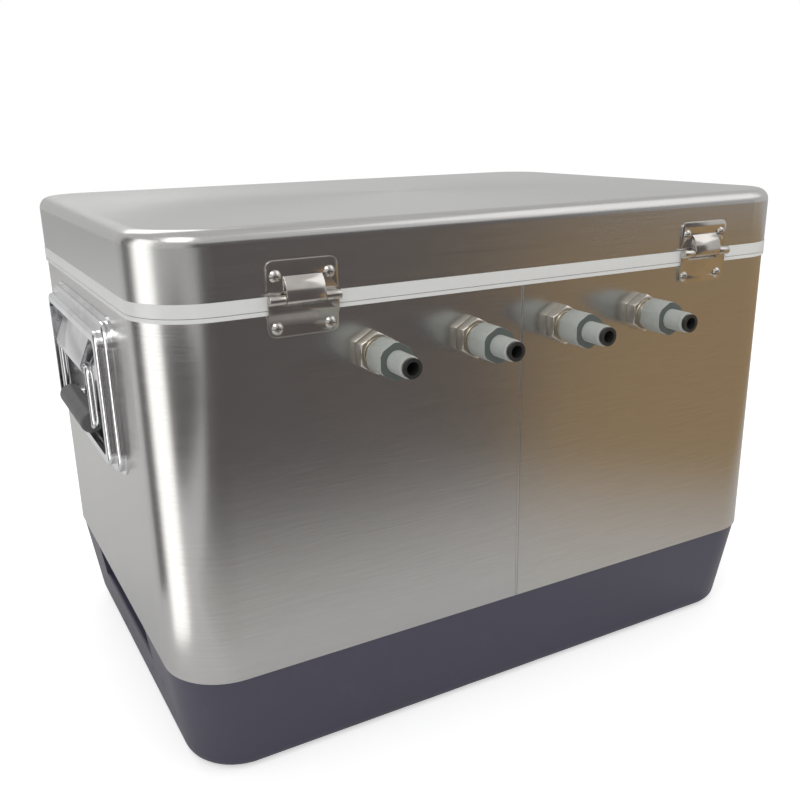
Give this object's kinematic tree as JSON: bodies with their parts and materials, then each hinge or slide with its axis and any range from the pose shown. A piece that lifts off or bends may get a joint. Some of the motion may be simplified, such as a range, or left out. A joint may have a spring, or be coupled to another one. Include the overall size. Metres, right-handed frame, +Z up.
{
  "type": "jockey box cooler",
  "caption": "Steel belted ice cooler with a hinged lid, folding end handles, push-fit beer inlets on the back, a cold plate inside and lever faucets on the front.",
  "frame": {"origin": "on the ground at the middle of the cooler body's footprint", "axes": "+X along the cooler's width, +Y to the hinge and inlet side, -Y to the faucet side, +Z up"},
  "size_m": [0.653, 0.5628, 0.432],
  "materials": {
    "base_plastic": "fine moulded grain",
    "belt_steel": "brushed, satin",
    "liner_plastic": "smooth",
    "foam": "closed cell foam",
    "hinge_steel": "polished",
    "chrome": "bright",
    "grip_plastic": "moulded",
    "drain_plastic": "moulded",
    "fitting_brass": "nickel plated",
    "fitting_plastic": "moulded",
    "collet_plastic": "moulded",
    "tube_steel": "drawn tube",
    "plate_aluminium": "cast",
    "knob_plastic": "polished"
  },
  "bodies": {
    "cooler": {"base_tub": "base_plastic", "steel_belt": "belt_steel", "inner_liner": "liner_plastic", "foam_insulation": "foam", "drain_spout": "drain_plastic", "drain_nut": "drain_plastic", "hinge_body_leaves": "hinge_steel", "hinge_pins": "hinge_steel", "body_screws": "hinge_steel", "handle_dish_left": "chrome", "handle_dish_right": "chrome", "handle_bracket_left": "chrome", "handle_bracket_right": "chrome", "handle_rivets": "hinge_steel", "cold_plate": "plate_aluminium", "inlet_tubes": "tube_steel", "outlet_tubes": "tube_steel", "inlet_shanks": "fitting_brass", "inlet_locknuts": "fitting_brass", "inlet_adaptors": "fitting_plastic", "faucet_shanks": "fitting_brass", "faucet_wall_flanges": "chrome", "faucet_shank_nuts": "fitting_brass", "faucet_coupling_nuts": "chrome", "faucet_body_1": "chrome", "faucet_body_2": "chrome", "faucet_body_3": "chrome", "faucet_body_4": "chrome", "faucet_bonnets": "chrome", "latch_striker": "hinge_steel"},
    "lid": {"lid_shell": "belt_steel", "lid_liner": "liner_plastic", "lid_foam": "foam", "hinge_lid_leaves": "hinge_steel", "lid_screws": "hinge_steel", "latch_leaf": "hinge_steel", "latch_pin": "hinge_steel"},
    "clasp": {"latch_clasp": "hinge_steel"},
    "bail_right": {"handle_bail_right": "chrome", "handle_grip_right": "grip_plastic"},
    "bail_left": {"handle_bail_left": "chrome", "handle_grip_left": "grip_plastic"},
    "lever_1": {"faucet_lever_1": "hinge_steel", "tap_handle_1": "knob_plastic"},
    "shaft_1": {"faucet_shaft_1": "hinge_steel"},
    "collet_1": {"inlet_collet_1": "collet_plastic"},
    "lever_2": {"faucet_lever_2": "hinge_steel", "tap_handle_2": "knob_plastic"},
    "shaft_2": {"faucet_shaft_2": "hinge_steel"},
    "collet_2": {"inlet_collet_2": "collet_plastic"},
    "lever_3": {"faucet_lever_3": "hinge_steel", "tap_handle_3": "knob_plastic"},
    "shaft_3": {"faucet_shaft_3": "hinge_steel"},
    "collet_3": {"inlet_collet_3": "collet_plastic"},
    "lever_4": {"faucet_lever_4": "hinge_steel", "tap_handle_4": "knob_plastic"},
    "shaft_4": {"faucet_shaft_4": "hinge_steel"},
    "collet_4": {"inlet_collet_4": "collet_plastic"},
    "drain_cap": {"drain_cap": "drain_plastic"}
  },
  "joints": [
    {"name": "lid_hinge", "type": "hinge", "parent": "cooler", "child": "lid", "pos_m": [0, 0.2204, 0.3815], "axis": [-1, 0, 0], "range_deg": [0, 105]},
    {"name": "clasp_hinge", "type": "hinge", "parent": "lid", "child": "clasp", "pos_m": [0, -0.2204, 0.3815], "axis": [-1, 0, 0], "range_deg": [0, 110]},
    {"name": "bail_pivot_right", "type": "hinge", "parent": "cooler", "child": "bail_right", "pos_m": [0.317, 0, 0.312], "axis": [0, -1, 0], "range_deg": [0, 95]},
    {"name": "bail_pivot_left", "type": "hinge", "parent": "cooler", "child": "bail_left", "pos_m": [-0.317, 0, 0.312], "axis": [0, 1, 0], "range_deg": [0, 95]},
    {"name": "lever_pivot_1", "type": "hinge", "parent": "cooler", "child": "lever_1", "pos_m": [-0.15, -0.259, 0.351], "axis": [1, 0, 0], "range_deg": [0, 30]},
    {"name": "shaft_slide_1", "type": "slide", "parent": "cooler", "child": "shaft_1", "axis": [0, 1, 0], "range_m": [0, 0.008]},
    {"name": "collet_slide_1", "type": "slide", "parent": "cooler", "child": "collet_1", "axis": [0, -1, 0], "range_m": [0, 0.0015]},
    {"name": "lever_pivot_2", "type": "hinge", "parent": "cooler", "child": "lever_2", "pos_m": [-0.05, -0.259, 0.351], "axis": [1, 0, 0], "range_deg": [0, 30]},
    {"name": "shaft_slide_2", "type": "slide", "parent": "cooler", "child": "shaft_2", "axis": [0, 1, 0], "range_m": [0, 0.008]},
    {"name": "collet_slide_2", "type": "slide", "parent": "cooler", "child": "collet_2", "axis": [0, -1, 0], "range_m": [0, 0.0015]},
    {"name": "lever_pivot_3", "type": "hinge", "parent": "cooler", "child": "lever_3", "pos_m": [0.05, -0.259, 0.351], "axis": [1, 0, 0], "range_deg": [0, 30]},
    {"name": "shaft_slide_3", "type": "slide", "parent": "cooler", "child": "shaft_3", "axis": [0, 1, 0], "range_m": [0, 0.008]},
    {"name": "collet_slide_3", "type": "slide", "parent": "cooler", "child": "collet_3", "axis": [0, -1, 0], "range_m": [0, 0.0015]},
    {"name": "lever_pivot_4", "type": "hinge", "parent": "cooler", "child": "lever_4", "pos_m": [0.15, -0.259, 0.351], "axis": [1, 0, 0], "range_deg": [0, 30]},
    {"name": "shaft_slide_4", "type": "slide", "parent": "cooler", "child": "shaft_4", "axis": [0, 1, 0], "range_m": [0, 0.008]},
    {"name": "collet_slide_4", "type": "slide", "parent": "cooler", "child": "collet_4", "axis": [0, -1, 0], "range_m": [0, 0.0015]},
    {"name": "drain_cap_turn", "type": "hinge", "parent": "cooler", "child": "drain_cap", "pos_m": [-0.289, 0, 0.072], "axis": [-1, 0, 0], "range_deg": [0, 90]}
  ],
  "couplings": [
    {"joint": "shaft_slide_1", "follows": "lever_pivot_1", "m_per_rad": 0.01527},
    {"joint": "shaft_slide_2", "follows": "lever_pivot_2", "m_per_rad": 0.01527},
    {"joint": "shaft_slide_3", "follows": "lever_pivot_3", "m_per_rad": 0.01527},
    {"joint": "shaft_slide_4", "follows": "lever_pivot_4", "m_per_rad": 0.01527}
  ]
}
